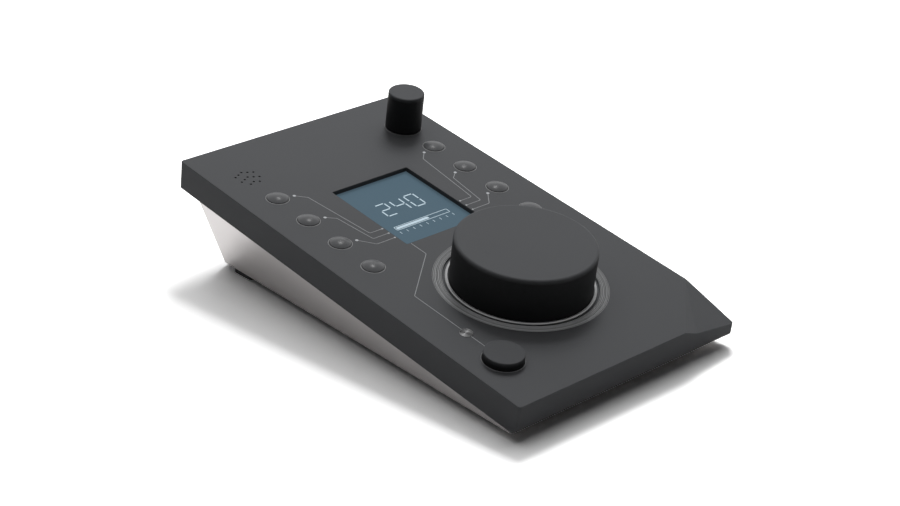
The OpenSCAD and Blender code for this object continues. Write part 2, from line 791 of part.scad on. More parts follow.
module display_glass() color(screen_colour)
    at_panel(-glass_w / 2, display_v - glass_l / 2, glass_under) cube([glass_w, glass_l, glass_t]);

module display_case() color(steel_colour)
    at_panel(-glass_w / 2, display_v - glass_l / 2, case_under) cube([glass_w, glass_l, display_case_t]);

module display_support() color(black_colour)
    at_panel(0, display_v, board_top) frame_block(
        glass_w, glass_l, case_under - board_top, glass_w - 2 * support_wall, glass_l - 2 * support_wall);

// The flat ring round the volume knob, with grooves as wide as the lands
groove_w = groove_ring_w / groove_count / 2;
function groove_r(i) = moat_r + (2 * i + 1 / 2) * groove_w;
module groove_ring() color(panel_colour)
    at_panel(volume_x, volume_v, -groove_ring_t) difference() {
        ring(moat_r + fit_gap, groove_ring_r, groove_ring_t);
        for (i = [0:groove_count - 1])
            translate([0, 0, groove_ring_t - groove_depth])
                ring(groove_r(i), groove_r(i) + groove_w, groove_depth + cut);
    }

module knob_bezel() color(trim_colour)
    at_panel(volume_x, volume_v, -moat_depth) rotate_extrude() polygon([
        [bezel_r0, 0], [bezel_r1, 0], [bezel_r1, moat_depth],
        [bezel_r1 - bezel_w / 3, moat_depth + bezel_rise], [bezel_r0, moat_depth + bezel_rise]
    ]);

module volume_encoder() color(steel_colour)
    at_panel(volume_x, volume_v) difference() {
        union() {
            translate([0, 0, board_top]) cylinder(r = encoder_r, h = board_gap);
            translate([0, 0, panel_under]) cylinder(r = bush_r, h = bush_top - panel_under);
        }
        translate([0, 0, shaft_foot - stop_gap])
            cylinder(r = shaft_r + fit_gap, h = bush_top - shaft_foot + cut);
    }

module hex_nut(r, bore_r, t)
    difference() {
        cylinder(r = r, h = t, $fn = 6);
        translate([0, 0, -cut]) cylinder(r = bore_r + fit_gap, h = t + 2 * cut);
    }

module volume_nut() color(brass_colour)
    at_panel(volume_x, volume_v, -moat_depth) hex_nut(nut_r, bush_r, nut_t);

// A round cutter along +Y at height z, from inside the shaft's bore outwards
module grub_bore(r, reach, z)
    translate([0, shaft_r / 2, z]) rotate([-90, 0, 0]) cylinder(r = r, h = reach);

module volume_knob() color(knob_colour)
    at_panel(volume_x, volume_v) difference() {
        round_topped(volume_r, volume_under, volume_top, volume_edge);
        translate([0, 0, volume_under - cut]) difference() {
            cylinder(r = volume_r - volume_rim, h = volume_roof - volume_under + cut);
            translate([0, 0, hub_under - volume_under + cut]) cylinder(r = hub_r, h = volume_roof);
        }
        translate([0, 0, hub_under - cut]) cylinder(r = insert_r, h = insert_top - hub_under + cut);
        grub_bore(screw_r + fit_gap, volume_r + cut, grub_z);
    }

module volume_insert() color(brass_colour)
    at_panel(volume_x, volume_v) difference() {
        translate([0, 0, hub_under]) cylinder(r = insert_r - fit_gap, h = insert_top - hub_under);
        translate([0, 0, hub_under - cut])
            cylinder(r = shaft_r + fit_gap, h = shaft_head - hub_under + cut + fit_gap);
        grub_bore(screw_r + fit_gap, insert_r + cut, grub_z);
    }

module volume_shaft() color(steel_colour)
    at_panel(volume_x, volume_v, shaft_foot) cylinder(r = shaft_r, h = shaft_head - shaft_foot);

module grub_screw(z)
    translate([0, shaft_r + fit_gap, z]) rotate([-90, 0, 0]) difference() {
        cylinder(r = screw_r, h = grub_l);
        translate([0, 0, grub_l / 2]) cylinder(r = hex_key_r, h = grub_l, $fn = 6);
    }

module volume_grub_screw() color(black_colour) at_panel(volume_x, volume_v) grub_screw(grub_z);

// The select knob runs above its bezel, so the bezel is as wide inside as the knob
module select_bezel() color(trim_colour) at_panel(select_x, select_v) thin_bezel(select_r - push_gap);

module select_encoder() color(steel_colour)
    at_panel(select_x, select_v) difference() {
        union() {
            translate([-encoder_w / 2, -encoder_w / 2, board_top]) cube([encoder_w, encoder_w, board_gap]);
            translate([0, 0, panel_under]) cylinder(r = select_bush_r, h = select_bush_top - panel_under);
        }
        translate([0, 0, board_top + encoder_floor])
            cylinder(r = shaft_r + fit_gap, h = select_bush_top - board_top);
    }

module select_nut() color(brass_colour)
    at_panel(select_x, select_v) hex_nut(select_nut_r, select_bush_r, select_nut_t);

module select_plunger() color(black_colour)
    at_panel(select_x, select_v, plunger_foot) cylinder(r = plunger_r, h = plunger_t);

module select_knob() color(knob_colour)
    at_panel(select_x, select_v) difference() {
        round_topped(select_r, select_under, select_top, select_edge);
        translate([0, 0, select_under - cut])
            cylinder(r = select_cavity_r, h = select_cavity_top - select_under + cut);
        translate([0, 0, select_under])
            cylinder(r = shaft_r + fit_gap, h = select_shaft_head - select_under + fit_gap);
        grub_bore(screw_r + fit_gap, select_r + cut, select_grub_z);
    }

module select_shaft() color(steel_colour)
    at_panel(select_x, select_v, select_shaft_foot)
        cylinder(r = shaft_r, h = select_shaft_head - select_shaft_foot);

module select_grub_screw() color(black_colour) at_panel(select_x, select_v) grub_screw(select_grub_z);

// What every push button has below its cap: a flange and a stem
module button_foot(cap_r) {
    flange_top = panel_under - stop_gap;
    stem_end = board_top + switch_h - stem_entry;
    translate([0, 0, flange_top - flange_t]) cylinder(r = cap_r + push_gap + flange_w, h = flange_t);
    translate([0, 0, flange_top]) cylinder(r = cap_r, h = -flange_top);
    translate([0, 0, stem_end]) cylinder(r = stem_r, h = flange_top - flange_t - stem_end);
}

module dome_button(x, row) color(panel_colour) {
    ball_r = (button_r * button_r + dome_h * dome_h) / (2 * dome_h);
    at_panel(x * column_x, button_v(row)) {
        button_foot(button_r);
        cylinder(r = button_r, h = button_rise);
        intersection() {
            translate([0, 0, button_rise + dome_h - ball_r]) sphere(ball_r);
            translate([0, 0, button_rise]) cylinder(r = button_r, h = dome_h + cut);
        }
    }
}
module button_left_1() dome_button(-1, 0);
module button_left_2() dome_button(-1, 1);
module button_left_3() dome_button(-1, 2);
module button_left_4() dome_button(-1, 3);
module button_right_1() dome_button(1, 0);
module button_right_2() dome_button(1, 1);
module button_right_3() dome_button(1, 2);
module button_right_4() dome_button(1, 3);

module button_bezels() color(trim_colour)
    for (x = [-1, 1], row = [0:button_rows - 1]) at_panel(x * column_x, button_v(row)) thin_bezel(button_r);

// A push switch on the board, with a well that the button's stem goes down into
module push_switch(travel)
    difference() {
        translate([-switch_w / 2, -switch_w / 2, board_top]) cube([switch_w, switch_w, switch_h]);
        translate([0, 0, board_top + switch_h - stem_entry - travel - switch_floor])
            cylinder(r = stem_r + push_gap, h = switch_h);
    }

module key_switches() color(black_colour)
    for (x = [-1, 1], row = [0:button_rows - 1])
        at_panel(x * column_x, button_v(row)) push_switch(button_travel);

module talk_bezel() color(trim_colour) at_panel(-column_x, talk_v) thin_bezel(talk_r);

module talk_button() color(knob_colour)
    at_panel(-column_x, talk_v) {
        button_foot(talk_r);
        round_topped(talk_r, 0, talk_top, talk_edge);
    }

module talk_switch() color(black_colour) at_panel(-column_x, talk_v) push_switch(talk_travel);

// The indicator: a shallow dished metal disc held by its flange, over a lamp
module indicator_disc() color(trim_colour)
    at_panel(-column_x, indicator_v) difference() {
        union() {
            translate([0, 0, panel_under]) cylinder(r = indicator_r, h = panel_top + trim_rise);
            translate([0, 0, panel_under - flange_t]) cylinder(r = indicator_r + flange_w, h = flange_t);
        }
        translate([0, 0, -trim_rise]) cylinder(r = indicator_r - trim_w, h = panel_top);
    }

module indicator_lamp() color(trim_colour)
    at_panel(-column_x, indicator_v, board_top)
        cylinder(r = indicator_r - trim_w, h = board_gap - flange_t);

module mic_boot() color(black_colour)
    at_panel(-column_x, mic_v, board_top) difference() {
        cylinder(r = mic_r + boot_wall, h = board_gap);
        translate([0, 0, boot_floor]) cylinder(r = mic_r, h = board_gap);
    }

module mic_capsule() color(steel_colour)
    at_panel(-column_x, mic_v, board_top + boot_floor)
        cylinder(r = mic_r - fit_gap, h = board_gap - 2 * boot_floor);

top_panel();
base_shell();
bottom_plate();
foot_front_left();
foot_front_right();
foot_back_left();
foot_back_right();
rear_pillars();
bottom_screws();
main_board();
board_screws();
rear_board();
rear_spacers();
rear_board_screws();
network_jack();
cable_headers();
flat_cable();
display_gasket();
display_glass();
display_case();
display_support();
groove_ring();
knob_bezel();
volume_encoder();
volume_nut();
volume_knob();
volume_insert();
volume_shaft();
volume_grub_screw();
select_bezel();
select_encoder();
select_nut();
select_plunger();
select_knob();
select_shaft();
select_grub_screw();
button_bezels();
button_left_1();
button_left_2();
button_left_3();
button_left_4();
button_right_1();
button_right_2();
button_right_3();
button_right_4();
key_switches();
talk_bezel();
talk_button();
talk_switch();
indicator_disc();
indicator_lamp();
mic_boot();
mic_capsule();
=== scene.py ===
import json
import math
import bpy
import numpy as np
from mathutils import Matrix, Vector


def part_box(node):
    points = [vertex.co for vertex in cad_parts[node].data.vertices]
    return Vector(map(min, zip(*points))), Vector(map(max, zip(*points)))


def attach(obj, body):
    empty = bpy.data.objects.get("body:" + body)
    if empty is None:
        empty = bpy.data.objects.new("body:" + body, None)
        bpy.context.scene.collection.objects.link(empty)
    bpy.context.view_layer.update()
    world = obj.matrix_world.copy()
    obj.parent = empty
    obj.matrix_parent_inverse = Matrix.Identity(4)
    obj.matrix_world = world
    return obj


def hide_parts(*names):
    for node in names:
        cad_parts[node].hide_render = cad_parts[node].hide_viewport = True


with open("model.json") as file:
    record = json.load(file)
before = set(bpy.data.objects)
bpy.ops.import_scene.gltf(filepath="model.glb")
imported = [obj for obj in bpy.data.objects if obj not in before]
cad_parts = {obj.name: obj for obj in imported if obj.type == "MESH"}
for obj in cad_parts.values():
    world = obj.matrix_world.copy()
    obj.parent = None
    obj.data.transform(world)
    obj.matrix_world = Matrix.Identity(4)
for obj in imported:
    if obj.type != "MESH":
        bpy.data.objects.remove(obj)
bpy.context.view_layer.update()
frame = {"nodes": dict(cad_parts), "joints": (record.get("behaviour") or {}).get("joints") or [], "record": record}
nodes = frame["nodes"]
print("stage: frame loaded,", len(nodes), "nodes")

# The panel's own frame, taken from the volume knob's joint
mm = 0.001
places = {"volume": (0.0, 73.8), "display": (0.0, 156.8)}  # x to the right, v back from the front edge, in mm
volumeTurn = next(j for j in frame["joints"] if j["name"] == "volume_turn")
upDir = np.array(volumeTurn["axis"], float)
rightDir = np.array([1.0, 0.0, 0.0])
backDir = np.array([0.0, upDir[2], -upDir[1]])
tilt = math.atan2(-upDir[1], upDir[2])
panelFront = np.array(volumeTurn["pos_m"]) - mm * places["volume"][1] * backDir


def onPanel(x, v, h):  # x right, v back along the slope, h square to it, in mm, to metres in the frame
    x, v, h = np.broadcast_arrays(np.asarray(x, float), v, h)
    return panelFront + mm * (x[..., None] * rightDir + v[..., None] * backDir + h[..., None] * upDir)


def onDesk(x, y, z):  # level millimetres to metres
    return mm * np.stack(np.broadcast_arrays(np.asarray(x, float), y, z), -1)


# Shapes: each gives points and faces, or a path
nearlyStraight = 1.57  # half the angle between two legs that run on in one line
mitreLimit = 0.3  # how far the corner of a bar may reach out, as the least cosine


def gridFaces(rows, columns, closed):
    # quads between the neighbours of a grid whose rows go round; closed joins the last row to the first
    index = np.arange(rows * columns).reshape(rows, columns)
    index = np.hstack([index, index[:, :1]])
    if closed:
        index = np.vstack([index, index[:1]])
    corners = [index[:-1, :-1], index[1:, :-1], index[1:, 1:], index[:-1, 1:]]
    return np.stack(corners, -1).reshape(-1, 4).tolist()


def revolve(profile, centre, turns, closed=False):
    # (r, h) turned about the panel's normal at centre: x = cx + r cos a, v = cv + r sin a
    # a closed profile makes a ring, an open one starts and ends on the axis, where triangles meet in a pole
    profile = np.asarray(profile, float)
    r, h = (profile if closed else profile[1:-1]).T[..., None]
    angle = np.arange(turns) * 2 * np.pi / turns
    points = onPanel(centre[0] + r * np.cos(angle), centre[1] + r * np.sin(angle), h).reshape(-1, 3)
    faces = gridFaces(len(r), turns, closed)
    if not closed:
        first = np.arange(turns)
        after = np.roll(first, -1)
        last = turns * (len(r) - 1)
        top, bottom = (np.full(turns, len(points) + i) for i in (0, 1))
        faces += np.stack([top, first, after], -1).tolist()
        faces += np.stack([bottom, after + last, first + last], -1).tolist()
        points = np.vstack([points, onPanel(*centre, profile[[0, -1], 1])])
    return points, faces


def fillet(corners, radii, steps=6):
    # a polyline with arcs at its inner corners, touching both legs at r / tan(half the angle) from them
    corners = np.asarray(corners, float)
    share = np.linspace(0, 1, steps + 1)[:, None]
    path = [corners[:1]]
    for before, at, after, r in zip(corners[:-2], corners[1:-1], corners[2:], radii):
        a, b = ((end - at) / np.linalg.norm(end - at) for end in (before, after))
        half = math.acos(np.clip(a @ b, -1, 1)) / 2
        if r <= 0 or half > nearlyStraight:
            path.append(at[None])
            continue
        middle = at + (a + b) / np.linalg.norm(a + b) * r / math.sin(half)
        start, end = (at + leg * r / math.tan(half) - middle for leg in (a, b))
        sweep = math.pi - 2 * half
        arc = np.sin((1 - share) * sweep) * start + np.sin(share * sweep) * end
        path.append(middle + arc / math.sin(sweep))
    return np.vstack(path + [corners[-1:]])


def roundedBox(halfWidth, halfLength, corner, centre):
    # a rectangle's outline from the middle of its left side, with arcs at its corners
    w, l = halfWidth, halfLength
    outline = [(-w, 0), (-w, -l), (w, -l), (w, l), (-w, l), (-w, 0)]
    return fillet(outline, [corner] * 4)[:-1] + centre


def strip(path, width, low, high, closed=False, place=onPanel):
    # a flat bar carried along a path of (x, v): half the width to either side of it, at low and high
    path = np.asarray(path, float)
    before, after = 2 * path[:1] - path[1:2], 2 * path[-1:] - path[-2:-1]
    if closed:
        before, after = path[-1:], path[:1]
    legs = np.diff(np.vstack([before, path, after]), axis=0)
    legs /= np.linalg.norm(legs, axis=1, keepdims=True)
    mean = legs[:-1] + legs[1:]
    mean /= np.linalg.norm(mean, axis=1, keepdims=True)
    mitre = np.maximum((mean * legs[1:]).sum(1, keepdims=True), mitreLimit)
    side = np.stack([-mean[:, 1], mean[:, 0]], -1) * width / 2 / mitre
    flat = np.stack([path + side, path - side, path - side, path + side], 1)
    points = place(flat[..., 0], flat[..., 1], np.array([high, high, low, low], float)).reshape(-1, 3)
    faces = [quad[::-1] for quad in gridFaces(len(path), 4, closed)]
    if not closed:
        last = 4 * (len(path) - 1)
        faces += [[0, 3, 2, 1], [last, last + 1, last + 2, last + 3]]
    return points, faces


def makePiece(name, parts, finish, body, replaced=(), crease=40):
    # all parts in one mesh, smooth but for edges that turn by more than crease degrees
    points = np.vstack([p for p, _ in parts])
    starts = np.cumsum([0] + [len(p) for p, _ in parts])
    faces = [[i + start for i in face] for (_, part), start in zip(parts, starts) for face in part]
    mesh = bpy.data.meshes.new(name)
    mesh.from_pydata(points.tolist(), [], faces)
    mesh.polygons.foreach_set("use_smooth", np.ones(len(mesh.polygons), bool))
    mesh.set_sharp_from_angle(angle=math.radians(crease))
    mesh.materials.append(finish)
    piece = bpy.data.objects.new(name, mesh)
    bpy.context.scene.collection.objects.link(piece)
    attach(piece, body)
    if replaced:
        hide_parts(*replaced)


# Shader nodes

def feed(tree, node, inputs):  # each input, by name or number, takes another node's socket or a plain value
    for key, value in inputs.items():
        if isinstance(value, bpy.types.NodeSocket):
            tree.links.new(value, node.inputs[key])
        else:
            node.inputs[key].default_value = value


def put(tree, kind, inputs=None, **settings):  # a new node with its settings, fed
    node = tree.nodes.new(kind)
    for key, value in settings.items():
        setattr(node, key, value)
    feed(tree, node, inputs or {})
    return node


def compute(tree, operation, *values):
    return put(tree, "ShaderNodeMath", dict(enumerate(values)), operation=operation).outputs[0]


def computeVector(tree, operation, *values):
    node = put(tree, "ShaderNodeVectorMath", dict(enumerate(values)), operation=operation)
    return node.outputs["Value" if operation in ("LENGTH", "DOT_PRODUCT") else "Vector"]


def blend(tree, first, second, share):  # a share of the first and the rest of the second
    rest = compute(tree, "MULTIPLY", second, 1 - share)
    return compute(tree, "ADD", compute(tree, "MULTIPLY", first, share), rest)


def noise(tree, vector, scale, detail):
    given = {"Vector": vector, "Scale": scale, "Detail": detail}
    return put(tree, "ShaderNodeTexNoise", given).outputs["Fac"]


def mapRange(tree, value, span, target):  # from one span of values to another, clamped
    keys = ("Value", "From Min", "From Max", "To Min", "To Max")
    return put(tree, "ShaderNodeMapRange", dict(zip(keys, (value, *span, *target)))).outputs[0]


# Shader groups: each takes Vector and its own inputs, and gives Tone for the colour and Height for the relief

def newGroup(name, inputs):
    tree = bpy.data.node_groups.new(name, "ShaderNodeTree")
    tree.interface.new_socket(name="Vector", in_out="INPUT", socket_type="NodeSocketVector")
    for label, value in inputs.items():
        kind = "NodeSocketVector" if isinstance(value, tuple) else "NodeSocketFloat"
        tree.interface.new_socket(name=label, in_out="INPUT", socket_type=kind).default_value = value
    for label in ("Tone", "Height"):
        tree.interface.new_socket(name=label, in_out="OUTPUT", socket_type="NodeSocketFloat")
    return tree, tree.nodes.new("NodeGroupInput").outputs


def makeGrainGroup():  # fine blasted grain over a slow cloud: Tone lies about 0.5, Height from 0 to 1
    tree, given = newGroup("blastedGrain", {"Size": 2500.0, "Cloud": 9.0})
    fine = noise(tree, given["Vector"], given["Size"], 2.0)
    slow = noise(tree, given["Vector"], given["Cloud"], 3.0)
    put(tree, "NodeGroupOutput", {"Tone": blend(tree, fine, slow, 0.4), "Height": fine})
    return tree


def makeBrushGroup():  # long thin streaks: noise on coordinates that are squeezed across the brushing
    tree, given = newGroup("brushedStreaks", {"Across": (900.0, 5.0, 900.0)})
    squeezed = computeVector(tree, "MULTIPLY", given["Vector"], given["Across"])
    streak = noise(tree, squeezed, 1.0, 4.0)
    broad = noise(tree, squeezed, 0.13, 2.0)
    put(tree, "NodeGroupOutput", {"Tone": blend(tree, streak, broad, 0.6), "Height": streak})
    return tree


def makeTurnedGroup():  # rings of a lathe tool: a sine of the distance from the axis, roughened by noise
    tree, given = newGroup("turnedRings", {"Pitch": 0.0004})
    flat = computeVector(tree, "MULTIPLY", given["Vector"], (1.0, 1.0, 0.0))
    turns = compute(tree, "DIVIDE", computeVector(tree, "LENGTH", flat), given["Pitch"])
    wave = compute(tree, "SINE", compute(tree, "MULTIPLY", turns, 2 * math.pi))
    outward = put(tree, "ShaderNodeCombineXYZ", {"X": compute(tree, "MULTIPLY", turns, 0.7)}).outputs[0]
    rough = noise(tree, outward, 1.0, 3.0)
    height = compute(tree, "ADD", compute(tree, "MULTIPLY", wave, 0.25), rough)
    put(tree, "NodeGroupOutput", {"Tone": rough, "Height": height})
    return tree


groups = {"grain": makeGrainGroup(), "brush": makeBrushGroup(), "turned": makeTurnedGroup()}
toneSpan = (0.3, 0.7)  # where most of a group's Tone lies
print("stage:", len(groups), "shader groups made")


# Finishes

def srgb(*levels):  # a picture's 0 to 255 levels to linear colour
    c = np.array(levels) / 255
    return (*np.where(c <= 0.04045, c / 12.92, ((c + 0.055) / 1.055) ** 2.4), 1.0)


def makeFinish(name, colour, roughness, group, metallic=0.0, specular=0.5, tone=0.1, roughSpread=0.08,
               bump=0.1, bumpSize=0.00002, centre=None, groupInputs=None, shaderInputs=None):
    # one Principled finish whose colour, roughness and normal follow a shared group
    finish = bpy.data.materials.new(name)
    finish.use_nodes = True
    tree = finish.node_tree
    where = put(tree, "ShaderNodeTexCoord").outputs["Object"]
    if centre is not None:  # measured from a point on the panel, with its axis along the panel's normal
        shift = computeVector(tree, "SUBTRACT", where, onPanel(*centre))
        where = put(tree, "ShaderNodeMapping", {"Vector": shift, "Rotation": (-tilt, 0.0, 0.0)}).outputs[0]
    given = {"Vector": where, **(groupInputs or {})}
    pattern = put(tree, "ShaderNodeGroup", given, node_tree=groups[group]).outputs
    tint = mapRange(tree, pattern["Tone"], toneSpan, (1 - tone, 1 + tone))
    dull = mapRange(tree, pattern["Tone"], toneSpan, (roughness - roughSpread, roughness + roughSpread))
    carved = {"Height": pattern["Height"], "Strength": bump, "Distance": bumpSize}
    relief = put(tree, "ShaderNodeBump", carved).outputs[0]
    feed(tree, tree.nodes["Principled BSDF"], {
        "Base Color": computeVector(tree, "MULTIPLY", colour[:3], tint), "Roughness": dull,
        "Normal": relief, "Metallic": metallic, "Specular IOR Level": specular,
        **(shaderInputs or {})})
    return finish


finishes = {
    "panel": makeFinish("panelAnodised", srgb(80, 81, 83), 0.5, "grain", specular=0.05, tone=0.05,
                        roughSpread=0.04, bump=0.25, bumpSize=0.00003),
    "button": makeFinish("buttonAnodised", srgb(74, 75, 77), 0.3, "grain", specular=0.3, tone=0.04,
                         roughSpread=0.04, bump=0.05),
    "groove": makeFinish("grooveTurned", (0.2, 0.203, 0.206), 0.35, "turned", metallic=0.75, specular=0.1,
                         tone=0.4, bump=0.05, centre=(*places["volume"], 0.0), groupInputs={"Pitch": 0.0006}),
    "shell": makeFinish("shellBrushed", (0.6, 0.575, 0.57), 0.36, "brush", metallic=1.0, tone=0.02,
                        roughSpread=0.03, bump=0.04, bumpSize=0.00001),
    "trim": makeFinish("trimTurned", (0.22, 0.223, 0.227), 0.5, "grain", metallic=0.3, specular=0.2,
                       tone=0.05, bump=0.05),
    "quietTrim": makeFinish("trimQuiet", (0.12, 0.122, 0.125), 0.5, "grain", metallic=0.3, specular=0.2,
                            tone=0.05, bump=0.05),
    "bezel": makeFinish("bezelTurned", (0.33, 0.333, 0.337), 0.45, "grain", metallic=0.45, specular=0.3,
                        tone=0.05, bump=0.05),
    "indicator": makeFinish("indicatorTurned", (0.2, 0.2, 0.203), 0.42, "grain", metallic=0.9, tone=0.03,
                            bump=0.0, shaderInputs={"Anisotropic": 0.85, "Anisotropic Rotation": 0.25}),
    "print": makeFinish("printGrey", srgb(144, 146, 148), 0.6, "grain", specular=0.1, tone=0.04),
    "dots": makeFinish("printPale", srgb(182, 185, 188), 0.6, "grain", specular=0.1, tone=0.04),
    "rubber": makeFinish("footRubber", (0.018, 0.018, 0.018), 0.75, "grain", specular=0.3, tone=0.2,
                         bump=0.4, bumpSize=0.00006, groupInputs={"Size": 1400.0}),
    "board": makeFinish("boardLaminate", (0.015, 0.1, 0.05), 0.45, "grain", tone=0.15),
    "steel": makeFinish("steelRolled", (0.5, 0.5, 0.51), 0.38, "brush", metallic=1.0, tone=0.08,
                        groupInputs={"Across": (700.0, 14.0, 700.0)}),
    "brass": makeFinish("brassTurned", (0.7, 0.53, 0.25), 0.33, "grain", metallic=1.0, tone=0.08),
    "black": makeFinish("blackMoulded", (0.012, 0.012, 0.0125), 0.55, "grain", specular=0.4, tone=0.15,
                        bump=0.3),
    "blackSteel": makeFinish("screwBlackened", (0.03, 0.03, 0.031), 0.45, "grain", metallic=0.6, tone=0.15),
    "cable": makeFinish("cableGrey", (0.4, 0.4, 0.41), 0.55, "brush", tone=0.12,
                        groupInputs={"Across": (1600.0, 8.0, 8.0)}),
    "lamp": makeFinish("lampMilk", (0.75, 0.75, 0.72), 0.4, "grain", tone=0.03),
    "gold": makeFinish("contactGold", (0.85, 0.62, 0.25), 0.25, "grain", metallic=1.0, tone=0.05),
    "screen": makeFinish("screenBlueGrey", srgb(50, 66, 76), 0.5, "grain", specular=0.03, tone=0.03,
                         roughSpread=0.03, bump=0.0,
                         shaderInputs={"Emission Color": srgb(86, 106, 118), "Emission Strength": 0.55}),
    "readout": makeFinish("readoutPale", srgb(165, 182, 192), 0.4, "grain", specular=0.1, tone=0.02,
                          shaderInputs={"Emission Color": srgb(190, 208, 218), "Emission Strength": 0.35}),
}

# The indicator's turning marks run round its axis
indicatorTree = finishes["indicator"].node_tree
turning = put(indicatorTree, "ShaderNodeTangent", direction_type="RADIAL", axis="Z")
feed(indicatorTree, indicatorTree.nodes["Principled BSDF"], {"Tangent": turning.outputs[0]})

# The knobs' finish, its colour scaled by a factor for each knob: darker on the select knob, darker still on the
# talk button
grip = {"colour": srgb(83, 84, 86), "roughness": 0.5, "specular": 0.03, "darkening": 0.28, "edge": 2.2}
gripShades = {"volume_knob": ("volumeGrip", 1.0), "select_knob": ("selectGrip", 0.92),
              "talk_button": ("talkGrip", 0.85)}


def makeGrip(name, node, shade):  # darker on the turned side, below the top's rounded edge
    colour = [shade * c for c in grip["colour"]]
    finish = makeFinish(name, colour, grip["roughness"], "grain", specular=grip["specular"], tone=0.05,
                        roughSpread=0.04, bump=0.2, bumpSize=0.00003)
    tree = finish.node_tree
    corners = np.empty(len(node.data.vertices) * 3)
    node.data.vertices.foreach_get("co", corners)
    top = (corners.reshape(-1, 3) @ upDir).max()
    height = computeVector(tree, "DOT_PRODUCT", put(tree, "ShaderNodeTexCoord").outputs["Object"], upDir)
    level = mapRange(tree, height, (top - mm * grip["edge"], top), (grip["darkening"], 1.0))
    shader = tree.nodes["Principled BSDF"]
    even = shader.inputs["Base Color"].links[0].from_socket
    feed(tree, shader, {"Base Color": computeVector(tree, "MULTIPLY", even, level)})
    return finish


for node, (name, shade) in gripShades.items():
    finishes[name] = makeGrip(name, nodes[node], shade)
print("stage:", len(finishes), "finishes made")

# The CAD nodes keep their shapes and take these finishes, by node or else by slot
nodeFinish = {"knob_bezel": "bezel", "select_bezel": "quietTrim", "talk_bezel": "quietTrim",
              "indicator_disc": "indicator", **{node: name for node, (name, _) in gripShades.items()}}
slotFinish = {"panel_finish": "panel", "shell_silver": "shell", "button_finish": "button",
              "bright_trim": "trim", "screen": "screen", "rubber": "rubber", "circuit": "board",
              "steel": "steel", "brass": "brass", "black_plastic": "black", "black_screw": "blackSteel",
              "cable_grey": "cable", "lamp_lens": "lamp"}
for sub in frame["record"]["subparts"]:
    finishName = nodeFinish.get(sub["node"]) or slotFinish[sub["material_slot"]]
    materials = nodes[sub["node"]].data.materials
    materials.clear()
    materials.append(finishes[finishName])

# The grooved ring round the volume knob: each V groove takes the middle half of its share of the width
ringGrooves = {"inner": 37.45, "outer": 42.0, "count": 6, "thick": 1.2, "depth": 0.27, "turns": 192}
inner, outer, underside = ringGrooves["inner"], ringGrooves["outer"], -ringGrooves["thick"]
span = (outer - inner) / ringGrooves["count"]
grooveV = [(0.25, 0.0), (0.5, -ringGrooves["depth"]), (0.75, 0.0)]
ringProfile = [(inner, underside), (inner, 0.0)]
for i in range(ringGrooves["count"]):
    ringProfile += [(inner + span * (i + across), height) for across, height in grooveV]
ringProfile += [(outer, 0.0), (outer, underside)]
makePiece("groove_ring_turned", [revolve(ringProfile, places["volume"], ringGrooves["turns"], closed=True)],
          finishes["groove"], "case", replaced=("groove_ring",), crease=20)
print("stage: grooved ring")

# Printed lines from the buttons to the display and on to the talk button, with dots just over their ends
printed = {"width": 0.36, "low": -0.02, "high": 0.03, "bend": 1.1,
           "bigDot": 0.82, "smallDot": 0.5, "dotHigh": 0.04, "dotTurns": 24,
           "toDisplay": [[(-42.4, 192.6), (-37.5, 187.7), (-33.1, 145.4), (-25.3, 145.4)],
                         [(-42.4, 168.3), (-37.9, 164.6), (-34.9, 140.6), (-25.3, 140.6)],
                         [(-42.6, 143.7), (-36.4, 135.9), (-25.3, 135.9)]],
           "toTalk": [[(-22.1, 127.6), (-22.1, 116.6), (-50.9, 91.5), (-50.9, 58.9)],
                      [(-50.9, 52.3), (-50.9, 41.2)]]}


def dot(x, v, r):  # a flat disc: its profile runs from the axis out, down and back
    top, low = printed["dotHigh"], printed["low"]
    return revolve([(0, top), (r, top), (r, low), (0, low)], (x, v), printed["dotTurns"])


def printedLine(corners):  # a thin bar along the corners, each of them rounded
    path = fillet(corners, [printed["bend"]] * (len(corners) - 2))
    return strip(path, printed["width"], printed["low"], printed["high"])


lineParts, dotParts = [], []
for mirror in (1, -1):
    for corners in printed["toDisplay"]:
        route = np.array(corners) * (mirror, 1)
        lineParts.append(printedLine(route))
        dotParts += [dot(*route[0], printed["bigDot"]), dot(*route[-1], printed["smallDot"])]
lineParts += [printedLine(corners) for corners in printed["toTalk"]]
makePiece("printed_lines", lineParts, finishes["print"], "case")
makePiece("printed_dots", dotParts, finishes["dots"], "case")
print("stage: printed lines")

# Black liner inside the display's window
liner = {"halfWidth": 24.3, "halfLength": 28.75, "corner": 0.9, "wall": 0.2, "low": -2.19, "high": -0.06}
linerPath = roundedBox(liner["halfWidth"], liner["halfLength"], liner["corner"], places["display"])
makePiece("window_liner", [strip(linerPath, liner["wall"], liner["low"], liner["high"], closed=True)],
          finishes["black"], "case")

# A plain level readout on the display: three figures, a bar and its scale, in mm from the display's middle
readout = {"low": -2.51, "high": -2.47, "figures": "240", "figureWidth": 6.0, "figureHeight": 11.0,
           "gap": 3.2, "base": -1.0, "stroke": 0.75, "inset": 0.09,
           "barAt": -12.0, "barWidth": 34.0, "barDepth": 3.0, "barCorner": 0.5, "barStroke": 0.35,
           "level": 0.62, "levelStart": 0.6, "levelDepth": 1.7,
           "ticks": 9, "tickGap": 3.2, "tickLength": 1.8, "tickStroke": 0.3}
segments = {"a": ((0, 1), (1, 1)), "b": ((1, 1), (1, 0.5)), "c": ((1, 0.5), (1, 0)), "d": ((0, 0), (1, 0)),
            "e": ((0, 0.5), (0, 0)), "f": ((0, 1), (0, 0.5)), "g": ((0, 0.5), (1, 0.5))}
figureSegments = {"2": "abged", "4": "fgbc", "0": "abcdef"}


def screenBar(start, end, width):
    return strip(np.array([start, end]) + places["display"], width, readout["low"], readout["high"])


